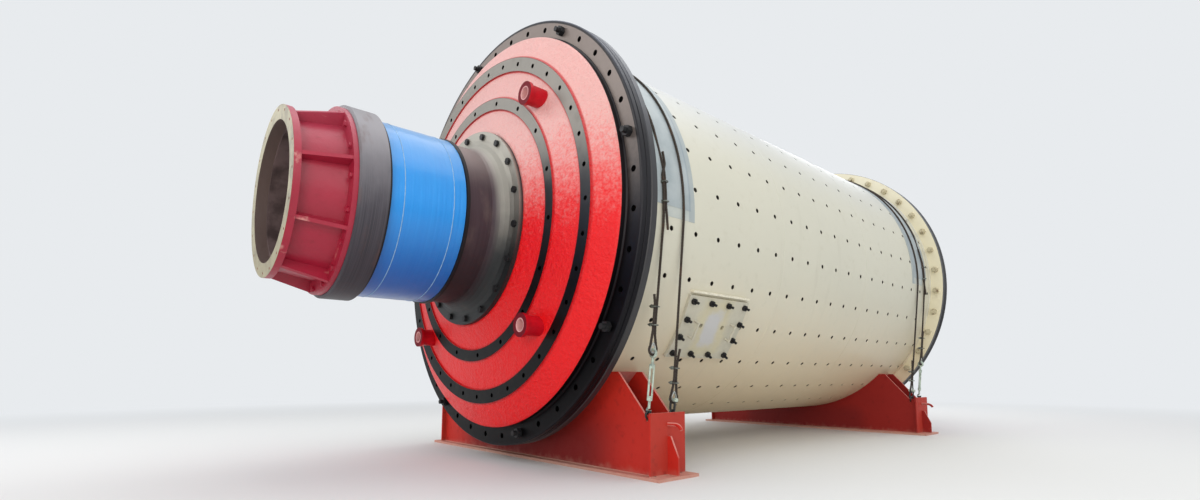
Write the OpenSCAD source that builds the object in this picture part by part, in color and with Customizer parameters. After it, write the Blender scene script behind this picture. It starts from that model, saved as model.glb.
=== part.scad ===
// Ball mill drum with heads, trunnions and ribbed sleeves, lashed in two saddle cradles.
// Millimetres. X runs along the drum, -Y is the manhole side, Z is up from the floor.
// Angles round the drum start at the -Y side and rise towards +Z.

/* [Shell] */
// Length of the drum between the faces of its two flanges
shell_l = 4940; // [4600:10:5400]
// Inside radius of the rolled shell
shell_r = 1500; // [1400:5:1600]
// Thickness of the rolled shell plate
plate_t = 30; // [20:1:40]
// Radius of the liner bolt holes in the shell
liner_hole_r = 18; // [14:1:22]
// Distance between two columns of liner bolt holes
col_pitch = 250; // [230:1:270]
// Distance from the flange face to the end column of holes
end_col_edge = 119; // [105:1:130]
// Number of hole columns in the middle shell course
course_cols = 6; // [4:2:8]

/* [Flanges] */
// Height of the bolted flanges above the shell plate
flange_h = 150; // [135:1:165]
// Thickness of the flange welded to the shell
shell_flange_t = 50; // [36:1:60]
// Thickness of the flange of the head
head_flange_t = 80; // [60:1:100]
// Distance of the flange bolts from the rim of the flange
bolt_edge = 75; // [68:1:82]
// Radius of the flange bolt holes
flange_hole_r = 21; // [19:1:24]
// Height of a flange nut
flange_nut_h = 34; // [28:1:38]

/* [Head] */
// Height of the raised cast face above the head flange
face_step = 52; // [40:1:60]
// How far the raised cast face reaches past the inside of the shell
face_over = 40; // [34:1:42]
// Width of the outer cast zone
zone_out = 184; // [170:1:200]
// Width of the large machined band
band_out_w = 104; // [90:1:115]
// Width of the middle cast zone
zone_mid = 219; // [205:1:235]
// Width of the small machined band
band_in_w = 88; // [78:1:98]
// Rise from the raised face to the large band
band_out_rise = 90; // [78:1:100]
// Rise from the large band to the small band
band_in_rise = 58; // [50:1:66]
// Rise from the small band to the seat of the trunnion
seat_rise = 46; // [40:1:52]
// Thickness of the cast wall of the head
head_wall = 100; // [80:1:120]

/* [Lugs] */
// Outside radius of a lug
lug_r = 82; // [70:1:90]
// How far a lug stands out past the small band
lug_h = 92; // [75:1:110]

/* [Trunnion] */
// Height of the flange of the trunnion above its neck
tr_flange_h = 160; // [145:1:175]
// Thickness of the flange of the trunnion
tr_flange_t = 34; // [28:1:44]
// Length of the neck between the head and the lip of the journal
neck_l = 324; // [295:1:350]
// Radius of the polished journal
journal_r = 600; // [560:5:640]
// Step from the journal down to the neck
neck_step = 8; // [4:1:12]
// Length of the polished journal
journal_l = 500; // [450:5:550]
// Height of the thick end ring above the journal
ring_h = 40; // [34:1:46]
// Length of the thick end ring
ring_l = 176; // [160:1:190]
// Thickness from the journal down to the clear bore
trunnion_wall = 170; // [155:1:185]

/* [Sleeve] */
// Step from the thick end ring to the rear flange of the sleeve
sl_step = 20; // [14:1:26]
// Width of the end face of the sleeve
sl_face_w = 112; // [104:1:122]
// Length of the ribbed sleeve
sl_l = 326; // [300:2:350]
// Thickness of the rear flange of the sleeve
sl_rear_t = 30; // [24:1:36]
// Thickness of the front flange of the sleeve
sl_front_t = 40; // [32:1:46]
// Thickness of a rib of the sleeve
rib_t = 24; // [18:1:30]

/* [Manhole] */
// Distance from the flange face to the middle of the manhole
man_in = 970; // [930:5:1000]
// Width of the manhole along the drum
man_w = 500; // [470:5:520]
// Height of the manhole round the drum
man_h = 340; // [310:5:350]
// How far the door laps over the manhole along the drum
door_lap_x = 95; // [85:1:100]
// How far the door laps over the manhole round the drum
door_lap_y = 80; // [70:1:84]
// Thickness of the manhole door
door_t = 24; // [16:1:30]
// Gap between the door and the weather ledge
ledge_gap = 18; // [12:1:26]
// How far the weather ledge stands out from the shell
ledge_out = 34; // [28:1:40]

/* [Cradles] */
// Height of the underside of the drum above the floor
drum_lift = 270; // [245:5:300]
// Distance from the flange face to the middle of a cradle
cradle_in = 348; // [335:1:362]
// Width of a cradle along the drum
cradle_w = 326; // [306:2:346]
// How far the side plates stand inside the ends of that width
side_in = 42; // [34:1:50]
// How far a cradle ends inside the side of the drum
cradle_short = 55; // [45:1:65]
// Thickness of the cradle plates
cradle_t = 16; // [12:1:20]
// Thickness of the base plate of a cradle
base_t = 20; // [16:1:24]
// Height of the end plates above the underside of the drum
end_rise = 147; // [132:1:162]
// Height of the flat horns above the underside of the drum
horn_rise = 415; // [380:1:450]
// Width of the flat top of a horn
horn_w = 72; // [58:1:86]
// Length of the low shelf of the side plates beside the end plates
shelf_l = 70; // [58:1:82]
// How far that shelf lies below the top of the end plates
shelf_drop = 18; // [12:1:24]

/* [Lashings] */
// Radius of the wire rope
rope_r = 9; // [8:0.5:10]
// Half the distance between the two ropes of a cradle
rope_half = 98; // [90:1:106]
// Length of a turnbuckle from the plate edge to its eye
lash_l = 430; // [390:5:470]
// Thickness of the pad under the ropes
pad_t = 4; // [3:0.5:6]
// Width of the pad along the drum
pad_w = 360; // [330:2:372]
// How far the pad reaches below the axis of the drum
pad_low = 12; // [8:1:20]

/* [Hidden] */
e = 0.01;
rows = 30;
row_pitch = 360 / rows;
row_a = 6;
shell_o = shell_r + plate_t;
axis_h = drum_lift + shell_o;
half = shell_l / 2;
fi = half - shell_flange_t;
// columns of liner bolt holes, an equal pitch about the middle and one more near each flange
end_col = half - end_col_edge;
pitches = floor((2 * end_col - 1.8 * col_pitch) / col_pitch);
hole_xs = [for (j = [0:pitches]) (j - pitches / 2) * col_pitch];
seam = course_cols / 2 * col_pitch;
flange_r = shell_o + flange_h;
flange_bolt_r = flange_r - bolt_edge;
face_r = shell_r + face_over;
face_x = head_flange_t + face_step;
band_out_r = face_r - zone_out;
band_out_in_r = band_out_r - band_out_w;
band_in_r = band_out_in_r - zone_mid;
band_in_in_r = band_in_r - band_in_w;
band_out_x = face_x + band_out_rise;
band_in_x = band_out_x + band_in_rise;
seat_x = band_in_x + seat_rise;
lug_circle_r = (band_out_in_r + band_in_r) / 2;
lug_end_x = band_in_x + lug_h;
neck_r = journal_r - neck_step;
ring_r = journal_r + ring_h;
bore_r = journal_r - trunnion_wall;
liner_r = bore_r + 40;
mouth_r = bore_r + 20;
tr_flange_r = neck_r + tr_flange_h;
tr_bolt_r = tr_flange_r - 44;
tr0 = seat_x + tr_flange_t;
flare_l = 96;
flare_w = tr_flange_h - 64;
lip_x = seat_x + neck_l;
lip_l = 24;
jr0 = lip_x + lip_l;
jr1 = jr0 + journal_l;
rg0 = jr1 + 16;
rg1 = rg0 + ring_l;
sl_rear_r = ring_r - sl_step;
sl_bolt_r = sl_rear_r - 40;
sl_front_r = bore_r + sl_face_w;
sl_hole_r = sl_front_r - 28;
sf = rg1 + sl_rear_t;
se = rg1 + sl_l;
man_x = man_in - half;
man_a = -31;
door_w = man_w + 2 * door_lap_x;
door_h = man_h + 2 * door_lap_y;
deg = 180 / PI / shell_o;
cradle_x = half - cradle_in;
cradle_half = shell_o - cradle_short;
end_h = drum_lift + end_rise;
horn_h = drum_lift + horn_rise;
horn_y = sqrt(shell_o * shell_o - (axis_h - horn_h) * (axis_h - horn_h)) + horn_w;
edge_y = cradle_half - cradle_t;
rope_c = shell_o + pad_t + rope_r;
side_x = cradle_w / 2 - side_in - cradle_t / 2;
shelf_z = end_h - shelf_drop;
// a rope is tied to the shelf of a side plate, just outside the foot of its slope
an_y = edge_y - shelf_l + 16;
an_z = axis_h - shelf_z;
an_d = sqrt(an_y * an_y + an_z * an_z);
an_b = atan2(an_z, an_y);
tan_a = acos(rope_c / an_d) - an_b;
run_l = sqrt(an_d * an_d - rope_c * rope_c);
eye_r = 34;
pin_z = 96;
pin_r = 9.5;
short_l = pin_z - pin_r + eye_r - rope_r - 0.5;
// ring in the hole of a side plate: hole, ring and wire radius, height of its centre over the shelf
link_hole = 12;
link_r = 24;
link_t = 6.5;
link_up = 4;
link_in = link_r - link_up + link_hole - link_t + 0.5;
link_dy = link_in * (rope_c * cos(tan_a) - an_y) / run_l;
link_dz = link_in * (rope_c * sin(tan_a) + an_z) / run_l;

// a body turned round the drum axis from points of radius and distance
module spin(p) {
  rotate([0, 90, 0]) rotate_extrude($fn = 180) polygon(p);
}

// lifts a body drawn round the X axis to the height of the drum
module up() {
  translate([0, 0, axis_h]) children();
}

// places a body of the right end, measured from the flange face of the shell
module right_end() {
  translate([half, 0, axis_h]) children();
}

module left_end() {
  mirror([1, 0, 0]) right_end() children();
}

// bars along X on a circle
module ring_bars(n, a0, pr, r, x0, x1) {
  for (k = [0:n - 1]) rotate([-(a0 + k * 360 / n), 0, 0])
    translate([x0, -pr, 0]) rotate([0, 90, 0]) cylinder(r = r, h = x1 - x0, $fn = 24);
}

module ring_nuts(n, a0, pr, r, x0, x1) {
  for (k = [0:n - 1]) rotate([-(a0 + k * 360 / n), 0, 0])
    translate([x0, -pr, 0]) rotate([0, 90, 0]) cylinder(r = r, h = x1 - x0, $fn = 6);
}

// one radial hole through the shell plate
module shell_hole(x, a, r) {
  rotate([-a, 0, 0]) translate([x, -shell_o - 40, 0]) rotate([-90, 0, 0])
    cylinder(r = r, h = plate_t + 80, $fn = 24);
}

// true where the door of the manhole takes the place of a hole
function under_door(x, k) = k == 27 && x > man_x - door_w / 2 - 50 && x < man_x + door_w / 2;

// rolled shell course from x0 to x1 with its liner bolt holes
module course(x0, x1, xs) {
  difference() {
    spin([[shell_r, x0], [shell_o, x0], [shell_o, x1], [shell_r, x1]]);
    for (x = xs) for (k = [0:rows - 1]) if (!under_door(x, k))
      shell_hole(x, row_a + k * row_pitch, liner_hole_r);
    if (x0 < man_x) rotate([-man_a, 0, 0]) translate([man_x - man_w / 2, -shell_o - plate_t, -man_h / 2])
      cube([man_w, 10 * plate_t, man_h]);
  }
}

module shell_course_left() {
  color([0.81, 0.79, 0.71]) up() course(-fi, -seam, concat([-end_col], [for (x = hole_xs) if (x < -seam) x]));
}

module shell_course_middle() {
  color([0.81, 0.79, 0.71]) up() course(-seam, seam, [for (x = hole_xs) if (abs(x) < seam) x]);
}

module shell_course_right() {
  color([0.81, 0.79, 0.71]) up() course(seam, fi, concat([for (x = hole_xs) if (x > seam) x], [end_col]));
}

// flange welded to the end of the shell
module shell_flange() {
  difference() {
    spin([[shell_r, -shell_flange_t], [flange_r, -shell_flange_t], [flange_r, -6], [flange_r - 6, 0],
      [shell_r, 0]]);
    ring_bars(40, 4.5, flange_bolt_r, flange_hole_r, -shell_flange_t - 10, 10);
  }
}

module shell_flange_left() {
  color([0.81, 0.79, 0.71]) left_end() shell_flange();
}

module shell_flange_right() {
  color([0.81, 0.79, 0.71]) right_end() shell_flange();
}

// outside line of the cast head, from the flange rim to the trunnion seat
head_line = [[flange_r, 6], [flange_r, head_flange_t / 2 - 5], [flange_r - 8, head_flange_t / 2],
  [flange_r, head_flange_t / 2 + 5], [flange_r, head_flange_t - 6], [flange_r - 6, head_flange_t],
  [face_r + 8, head_flange_t], [face_r, head_flange_t + 8], [face_r, face_x - 12],
  [face_r - 12, face_x], [band_out_r, band_out_x - 10], [band_out_r, band_out_x],
  [band_out_in_r, band_out_x], [band_out_in_r, band_out_x - 12],
  [band_in_r, band_in_x - 9], [band_in_r, band_in_x], [band_in_in_r, band_in_x],
  [band_in_in_r, band_in_x - 12], [tr_flange_r + 14, seat_x], [liner_r + 70, seat_x]];

// cast head with its stepped rings, bolt holes and liner bolt holes
module head() {
  difference() {
    spin(concat([[flange_r - 6, 0]], head_line, [[liner_r + 70, seat_x - head_wall - 10],
      [band_in_in_r, band_in_x - head_wall - 20], [band_out_in_r, band_out_x - head_wall - 20],
      [shell_r - 60, face_x - head_wall], [shell_r - 60, -30], [shell_r - 2, -30], [shell_r - 2, 0]]));
    ring_bars(40, 4.5, flange_bolt_r, flange_hole_r, -10, head_flange_t + 10);
    ring_bars(36, -1, (band_out_r + band_out_in_r) / 2, 17, 40, band_out_x + 20);
    ring_bars(18, 14.5, (band_in_r + band_in_in_r) / 2, 17, 90, band_in_x + 20);
    ring_bars(18, 12, tr_bolt_r, 16, seat_x - 70, seat_x + 20);
  }
}

module head_left() {
  color([0.86, 0.12, 0.13]) left_end() head();
}

module head_right() {
  color([0.86, 0.12, 0.13]) right_end() head();
}

// four hollow lugs with an end ring, standing on the middle zone of the head
module head_lugs() {
  lug_x = band_out_x - head_wall / 2;
  difference() {
    for (k = [0:3]) rotate([-(45 + 90 * k), 0, 0]) translate([0, -lug_circle_r, 0]) difference() {
      union() {
        translate([lug_x, 0, 0]) rotate([0, 90, 0]) cylinder(r = lug_r - 12, h = lug_end_x - lug_x, $fn = 48);
        translate([lug_end_x - 24, 0, 0]) rotate([0, 90, 0]) cylinder(r = lug_r, h = 24, $fn = 48);
      }
      translate([lug_x - 10, 0, 0]) rotate([0, 90, 0])
        cylinder(r = lug_r - 40, h = lug_end_x - lug_x + 20, $fn = 48);
    }
    spin(concat([[0, 0]], head_line, [[0, seat_x]]));
  }
}

module head_lugs_left() {
  color([0.82, 0.10, 0.12]) left_end() head_lugs();
}

module head_lugs_right() {
  color([0.82, 0.10, 0.12]) right_end() head_lugs();
}

// n bolts with a nut on each side of the joint between head and shell
module flange_bolts(n, a0) {
  x0 = -shell_flange_t - flange_nut_h;
  x1 = head_flange_t + flange_nut_h;
  ring_bars(n, a0, flange_bolt_r, flange_hole_r - 2, x0 - 20, x1 + 30);
  ring_nuts(n, a0, flange_bolt_r, 36, x0, -shell_flange_t);
  ring_nuts(n, a0, flange_bolt_r, 36, head_flange_t, x1);
}

// the left joint has eight assembly bolts so far
module flange_bolts_left() {
  color([0.10, 0.10, 0.11]) left_end() flange_bolts(8, 13.5);
}

// the right joint has all its bolts
module flange_bolts_right() {
  color([0.10, 0.10, 0.11]) right_end() flange_bolts(40, 4.5);
}

// trunnion: bolted flange, flare, neck, lip, journal and thick end ring
module trunnion() {
  difference() {
    spin([[liner_r, seat_x], [tr_flange_r, seat_x], [tr_flange_r, tr0],
      [neck_r + flare_w, tr0], [neck_r + 0.65 * flare_w, tr0 + 14], [neck_r + 0.37 * flare_w, tr0 + 36],
      [neck_r + 0.17 * flare_w, tr0 + 62], [neck_r + 5, tr0 + flare_l - 6], [neck_r, tr0 + flare_l + 18],
      [neck_r, lip_x], [journal_r + 12, lip_x], [journal_r + 12, jr0 - 4], [journal_r, jr0],
      [journal_r, jr1], [ring_r - 16, jr1], [ring_r - 16, rg0], [ring_r, rg0],
      [ring_r, rg1 - 10], [ring_r - 12, rg1], [liner_r, rg1]]);
    ring_bars(18, 12, tr_bolt_r, 16, seat_x - 10, tr0 + 10);
    ring_bars(18, 2.5, sl_bolt_r, 12, rg1 - 50, rg1 + 10);
  }
}

module trunnion_left() {
  color([0.16, 0.15, 0.16]) left_end() trunnion();
}

module trunnion_right() {
  color([0.16, 0.15, 0.16]) right_end() trunnion();
}

// blue film wound round the journal
module journal_wrap() {
  spin([[journal_r, jr0 + 2], [journal_r + 3, jr0 + 2], [journal_r + 3, jr1 - 2], [journal_r, jr1 - 2]]);
}

module journal_wrap_left() {
  color([0.12, 0.47, 0.86]) left_end() journal_wrap();
}

module journal_wrap_right() {
  color([0.12, 0.47, 0.86]) right_end() journal_wrap();
}

module trunnion_bolts() {
  ring_nuts(18, 12, tr_bolt_r, 25, tr0, tr0 + 20);
  ring_bars(18, 12, tr_bolt_r, 14, seat_x - 50, tr0 + 2);
}

module trunnion_bolts_left() {
  color([0.12, 0.12, 0.13]) left_end() trunnion_bolts();
}

module trunnion_bolts_right() {
  color([0.12, 0.12, 0.13]) right_end() trunnion_bolts();
}

// ribbed sleeve bolted to the end ring of the trunnion
module sleeve() {
  fx = se - sl_front_t;
  barrel_rear = mouth_r + 78;
  barrel_front = mouth_r + 34;
  difference() {
    union() {
      spin([[mouth_r, rg1], [sl_rear_r, rg1], [sl_rear_r, sf], [barrel_rear, sf], [barrel_front, fx],
        [sl_front_r, fx], [sl_front_r, se], [mouth_r, se]]);
      for (k = [0:8]) rotate([-(12.5 + 40 * k), 0, 0]) translate([0, 0, -rib_t / 2])
        linear_extrude(rib_t) polygon([[sf - e, -mouth_r - 20], [sf - e, -sl_rear_r + 6],
          [fx + e, -sl_front_r + 4], [fx + e, -mouth_r - 20]]);
    }
    ring_bars(18, 2.5, sl_bolt_r, 12, rg1 - 10, sf + 10);
    ring_bars(18, 2.5, sl_hole_r, 9, fx - 10, se + 10);
  }
}

module sleeve_left() {
  color([0.70, 0.15, 0.20]) left_end() sleeve();
}

module sleeve_right() {
  color([0.70, 0.15, 0.20]) right_end() sleeve();
}

module sleeve_bolts() {
  ring_nuts(18, 2.5, sl_bolt_r, 19, sf, sf + 15);
  ring_bars(18, 2.5, sl_bolt_r, 10, rg1 - 40, sf + 1);
}

module sleeve_bolts_left() {
  color([0.62, 0.12, 0.16]) left_end() sleeve_bolts();
}

module sleeve_bolts_right() {
  color([0.62, 0.12, 0.16]) right_end() sleeve_bolts();
}

// liner tube through trunnion and sleeve
module trunnion_liner() {
  spin([[bore_r, seat_x - head_wall - 40], [liner_r, seat_x - head_wall - 40],
    [liner_r, rg1], [mouth_r, rg1], [mouth_r, se - 70], [bore_r, se - 70]]);
}

module trunnion_liner_left() {
  color([0.30, 0.22, 0.23]) left_end() trunnion_liner();
}

module trunnion_liner_right() {
  color([0.30, 0.22, 0.23]) right_end() trunnion_liner();
}

// a curved plate on the drum between radii r0 and r1, centred on the manhole
module manhole_ring(r0, r1, w) {
  spin([[r0, man_x - w / 2], [r1, man_x - w / 2], [r1, man_x + w / 2], [r0, man_x + w / 2]]);
}

// curved door over the manhole, with its two liner bolt holes
module manhole_door() {
  color([0.72, 0.72, 0.66]) up() difference() {
    intersection() {
      manhole_ring(shell_o, shell_o + door_t, door_w);
      rotate([-man_a, 0, 0]) translate([man_x - door_w, -shell_o - 2 * door_t, -door_h / 2])
        cube([2 * door_w, shell_o / 2, door_h]);
    }
    for (s = [-1, 1]) shell_hole(man_x + s * col_pitch / 2, row_a + 27 * row_pitch - 360, liner_hole_r);
  }
}

// places of the twelve clamps, along the drum and round it
clamp_u = door_w / 2 - 45;
clamp_v = door_h / 2 - 45;
clamp_at = concat([for (u = [-1, -1 / 3, 1 / 3, 1]) for (v = [-1, 1]) [u * clamp_u, v * clamp_v]],
  [for (u = [-1, 1]) for (v = [-1, 1]) [u * (clamp_u + 10), v * clamp_v / 3]]);

// trims a body to the curved face of the door
module off_door() {
  difference() {
    children();
    manhole_ring(0, shell_o + door_t, 2 * door_w);
  }
}

module manhole_clamps() {
  color([0.16, 0.16, 0.16]) up() off_door() for (p = clamp_at) rotate([-man_a - p[1] * deg, 0, 0])
    translate([man_x + p[0], -shell_o - door_t + 4, 0]) rotate([90, 0, 0]) {
      cylinder(r = 10, h = 58, $fn = 24);
      cylinder(r = 24, h = 26, $fn = 6);
    }
}

// narrow weather ledge above the door
module manhole_ledge() {
  ledge_t = 14;
  color([0.84, 0.82, 0.74]) up() intersection() {
    manhole_ring(shell_o, shell_o + ledge_out, door_w - 30);
    rotate([-man_a - (door_h / 2 + ledge_gap + ledge_t / 2) * deg, 0, 0])
      translate([man_x - door_w, -shell_o - 2 * ledge_out, -ledge_t / 2])
        cube([2 * door_w, 4 * ledge_out, ledge_t]);
  }
}

module manhole_handles() {
  out = 46;
  color([0.75, 0.74, 0.68]) up() off_door() for (s = [-1, 1]) rotate([-man_a, 0, 0])
    translate([man_x + s * (clamp_u - 85), -shell_o - door_t, 0]) {
      for (q = [-1, 1]) translate([0, 5, q * 62]) rotate([90, 0, 0])
        cylinder(r = 8, h = out + 8, $fn = 24);
      translate([0, -out, -70]) cylinder(r = 8, h = 140, $fn = 24);
    }
}

// side plate of a cradle before the drum is cut out of it
foot_y = edge_y - shelf_l;
cradle_top = [[-edge_y, base_t], [-edge_y, shelf_z], [-foot_y, shelf_z], [-horn_y, horn_h],
  [horn_y, horn_h], [foot_y, shelf_z], [edge_y, shelf_z], [edge_y, base_t]];

// a plate across the drum, t thick, from x on
module yz_plate(x, t, p) {
  translate([x, 0, 0]) rotate([90, 0, 90]) linear_extrude(t) polygon(p);
}

module cradle_at(s) {
  translate([s * cradle_x, 0, 0]) children();
}

// the space of the drum, out to radius r over a width of 2 w
module drum_space(r0, r1, w) {
  up() spin([[r0, -w], [r1, -w], [r1, w], [r0, w]]);
}

module side_plates() {
  difference() {
    for (s = [-1, 1]) yz_plate(s * side_x - cradle_t / 2, cradle_t, cradle_top);
    drum_space(0, shell_o, cradle_w);
    for (s = [-1, 1]) translate([0, s * (an_y - link_dy), shelf_z - link_dz]) rotate([0, 90, 0])
      cylinder(r = link_hole, h = 2 * cradle_w, center = true, $fn = 36);
  }
}

module saddle() {
  w = side_x - cradle_t / 2;
  intersection() {
    drum_space(shell_o, shell_o + 15, w);
    yz_plate(-w - 5, 2 * w + 10, cradle_top);
  }
}

module end_plates() {
  for (s = [-1, 1]) translate([-cradle_w / 2, s * (cradle_half - cradle_t / 2) - cradle_t / 2, base_t])
    cube([cradle_w, cradle_t, end_h - base_t]);
}

module cradle_base() {
  toe = gusset_out + 6;
  side = 25;
  translate([-cradle_w / 2 - side, -cradle_half - toe, 0])
    cube([cradle_w + 2 * side, 2 * (cradle_half + toe), base_t]);
}

// upright gusset on each end plate, with a bent round hook above it
gusset_out = 92;
module gussets() {
  t = 14;
  top = 0.64 * end_h;
  bar_r = 12;
  bend = 62;
  reach = 62;
  hook_z = end_h - 74;
  for (s = [-1, 1]) mirror([0, s < 0 ? 0 : 1, 0]) translate([0, -cradle_half, 0]) {
    translate([-t / 2, 0, 0]) rotate([90, 0, 90]) linear_extrude(t)
      polygon([[0, base_t], [-gusset_out, base_t], [-gusset_out, 0.32 * end_h], [-26, top], [0, top]]);
    translate([0, 0.5, hook_z]) rotate([90, 0, 0]) cylinder(r = bar_r, h = reach + 0.5, $fn = 32);
    translate([0, -reach, hook_z - bend]) rotate([90, 0, 90]) rotate([0, 0, 90])
      rotate_extrude(angle = 62, $fn = 60) translate([bend, 0]) circle(r = bar_r, $fn = 32);
  }
}

module cradle_left_side_plates() {
  color([0.56, 0.16, 0.13]) cradle_at(-1) side_plates();
}

module cradle_left_saddle() {
  color([0.50, 0.14, 0.12]) cradle_at(-1) saddle();
}

module cradle_left_end_plates() {
  color([0.62, 0.18, 0.15]) cradle_at(-1) end_plates();
}

module cradle_left_base() {
  color([0.56, 0.16, 0.13]) cradle_at(-1) cradle_base();
}

module cradle_left_gussets() {
  color([0.70, 0.24, 0.20]) cradle_at(-1) gussets();
}

module cradle_right_side_plates() {
  color([0.56, 0.16, 0.13]) cradle_at(1) side_plates();
}

module cradle_right_saddle() {
  color([0.50, 0.14, 0.12]) cradle_at(1) saddle();
}

module cradle_right_end_plates() {
  color([0.62, 0.18, 0.15]) cradle_at(1) end_plates();
}

module cradle_right_base() {
  color([0.56, 0.16, 0.13]) cradle_at(1) cradle_base();
}

module cradle_right_gussets() {
  color([0.70, 0.24, 0.20]) cradle_at(1) gussets();
}

// cloth pad over the top of the drum, drawn about the axis
module pad() {
  intersection() {
    spin([[shell_o, -pad_w / 2], [shell_o + pad_t, -pad_w / 2], [shell_o + pad_t, pad_w / 2],
      [shell_o, pad_w / 2]]);
    translate([-pad_w, -2 * shell_o, -pad_low]) cube([2 * pad_w, 4 * shell_o, 2 * shell_o]);
  }
}

module pad_left() {
  color([0.58, 0.64, 0.66]) up() translate([-cradle_x, 0, 0]) pad();
}

module pad_right() {
  color([0.58, 0.64, 0.66]) up() translate([cradle_x, 0, 0]) pad();
}

function line_l(x) = sqrt(run_l * run_l + pow(abs(x) - side_x, 2));

// frame of one lashing: its Z axis runs from the cradle edge up to the drum
module lash(x, s) {
  sx = x > 0 ? 1 : -1;
  foot_x = side_x * sx;
  ty = -rope_c * cos(tan_a);
  tz = rope_c * sin(tan_a);
  d = [(x - foot_x), ty + an_y, tz + an_z];
  l = sqrt(d[0] * d[0] + d[1] * d[1] + d[2] * d[2]);
  mirror([0, s < 0 ? 0 : 1, 0]) translate([foot_x, -an_y, axis_h - an_z])
    rotate([-asin(d[1] / l), atan2(d[0], d[2]), 0]) children();
}

// how far up from the shelf the eye of a rope lies; the rope with its turnbuckle on side t
function eye_at(s, t) = s == t ? lash_l : short_l;

// wire rope from the eye on one side, over the drum, to the eye on the other side
module rope(x, t) {
  translate([x, 0, axis_h]) rotate([0, 90, 0]) rotate([0, 0, 90 + tan_a])
    rotate_extrude(angle = 180 - 2 * tan_a, $fn = 144)
      translate([rope_c, 0]) circle(r = rope_r, $fn = 24);
  for (s = [-1, 1]) translate([x, s * rope_c * cos(tan_a), axis_h + rope_c * sin(tan_a)])
    sphere(r = rope_r + 0.6, $fn = 24);
  for (s = [-1, 1]) lash(x, s) {
    z = eye_at(s, t);
    translate([0, 0, z + eye_r + 4]) cylinder(r = rope_r, h = line_l(x) - z - eye_r - 4, $fn = 24);
    translate([0, 0, z]) rotate([90, 0, 0]) rotate_extrude($fn = 48)
      translate([eye_r, 0]) circle(r = rope_r, $fn = 24);
  }
}

// ring through a hole in the side plate
module link() {
  translate([0, 0, link_up]) rotate([90, 0, 0]) rotate_extrude($fn = 48)
    translate([link_r, 0]) circle(r = link_t, $fn = 24);
}

// hook, body with two side bars, and upper eye of a turnbuckle
module turnbuckle() {
  hook_r = 17;
  wire = 7.5;
  hook_z = link_up + link_r - link_t - wire + hook_r + 0.5;
  up_eye_r = 25;
  nut_h = 30;
  body0 = 96;
  body1 = lash_l - 94;
  link();
  translate([0, 0, hook_z]) rotate([90, 0, 90]) rotate([0, 0, 165]) rotate_extrude(angle = 285, $fn = 48)
    translate([hook_r, 0]) circle(r = wire, $fn = 24);
  translate([0, 0, hook_z + hook_r - 2]) cylinder(r = 9, h = body0 + 12 - hook_z - hook_r, $fn = 24);
  for (z = [body0, body1 - nut_h]) translate([0, 0, z]) cylinder(r = 17, h = nut_h, $fn = 24);
  for (s = [-1, 1]) translate([s * 17, 0, body0 + 4]) cylinder(r = 7, h = body1 - body0 - 8, $fn = 24);
  translate([0, 0, body1 - 6]) cylinder(r = 9, h = lash_l - 2 * up_eye_r - body1 + 10, $fn = 24);
  translate([0, 0, lash_l - up_eye_r]) rotate([0, 90, 0]) rotate_extrude($fn = 48)
    translate([up_eye_r, 0]) circle(r = 9, $fn = 24);
}

// ring and bow shackle, whose pin holds the eye of the rope
module shackle() {
  leg = 19;
  wire = 7;
  bow_z = link_up + link_r - link_t - wire + leg + 0.5;
  link();
  translate([0, 0, bow_z]) rotate([90, 0, 90]) rotate([0, 0, 180]) rotate_extrude(angle = 180, $fn = 48)
    translate([leg, 0]) circle(r = wire, $fn = 24);
  for (s = [-1, 1]) {
    translate([0, s * leg, bow_z - 2]) cylinder(r = wire + 0.7, h = pin_z + 2 - bow_z, $fn = 24);
    translate([0, s * leg, pin_z]) rotate([90, 0, 0]) cylinder(r = 15, h = 13, center = true, $fn = 24);
  }
  translate([0, 0, pin_z]) rotate([90, 0, 0]) cylinder(r = pin_r, h = 2 * leg + 30, center = true, $fn = 24);
  translate([0, -leg - 10, pin_z]) rotate([90, 0, 0]) cylinder(r = 17, h = 12, center = true, $fn = 6);
}

// the outer rope is tightened on the near side, the inner one on the far side
module turnbuckles(c) {
  for (q = [-1, 1]) for (s = [-1, 1]) translate([c * cradle_x, 0, 0]) lash(q * rope_half, s)
    if (s == -q * c) turnbuckle(); else shackle();
}

module rope_left_outer() {
  color([0.22, 0.18, 0.16]) cradle_at(-1) rope(-rope_half, -1);
}

module rope_left_inner() {
  color([0.22, 0.18, 0.16]) cradle_at(-1) rope(rope_half, 1);
}

module rope_right_outer() {
  color([0.22, 0.18, 0.16]) cradle_at(1) rope(rope_half, -1);
}

module rope_right_inner() {
  color([0.22, 0.18, 0.16]) cradle_at(1) rope(-rope_half, 1);
}

module turnbuckles_left() {
  color([0.55, 0.62, 0.58]) turnbuckles(-1);
}

module turnbuckles_right() {
  color([0.55, 0.62, 0.58]) turnbuckles(1);
}

shell_course_left();
shell_course_middle();
shell_course_right();
shell_flange_left();
shell_flange_right();
head_left();
head_right();
head_lugs_left();
head_lugs_right();
flange_bolts_left();
flange_bolts_right();
trunnion_left();
trunnion_right();
journal_wrap_left();
journal_wrap_right();
trunnion_bolts_left();
trunnion_bolts_right();
sleeve_left();
sleeve_right();
sleeve_bolts_left();
sleeve_bolts_right();
trunnion_liner_left();
trunnion_liner_right();
manhole_door();
manhole_clamps();
manhole_ledge();
manhole_handles();
cradle_left_side_plates();
cradle_left_saddle();
cradle_left_end_plates();
cradle_left_base();
cradle_left_gussets();
cradle_right_side_plates();
cradle_right_saddle();
cradle_right_end_plates();
cradle_right_base();
cradle_right_gussets();
pad_left();
pad_right();
rope_left_outer();
rope_left_inner();
rope_right_outer();
rope_right_inner();
turnbuckles_left();
turnbuckles_right();
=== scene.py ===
"""Ball mill drum with stepped cast heads, wrapped journals and ribbed sleeves, in two saddle cradles."""
import math

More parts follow.
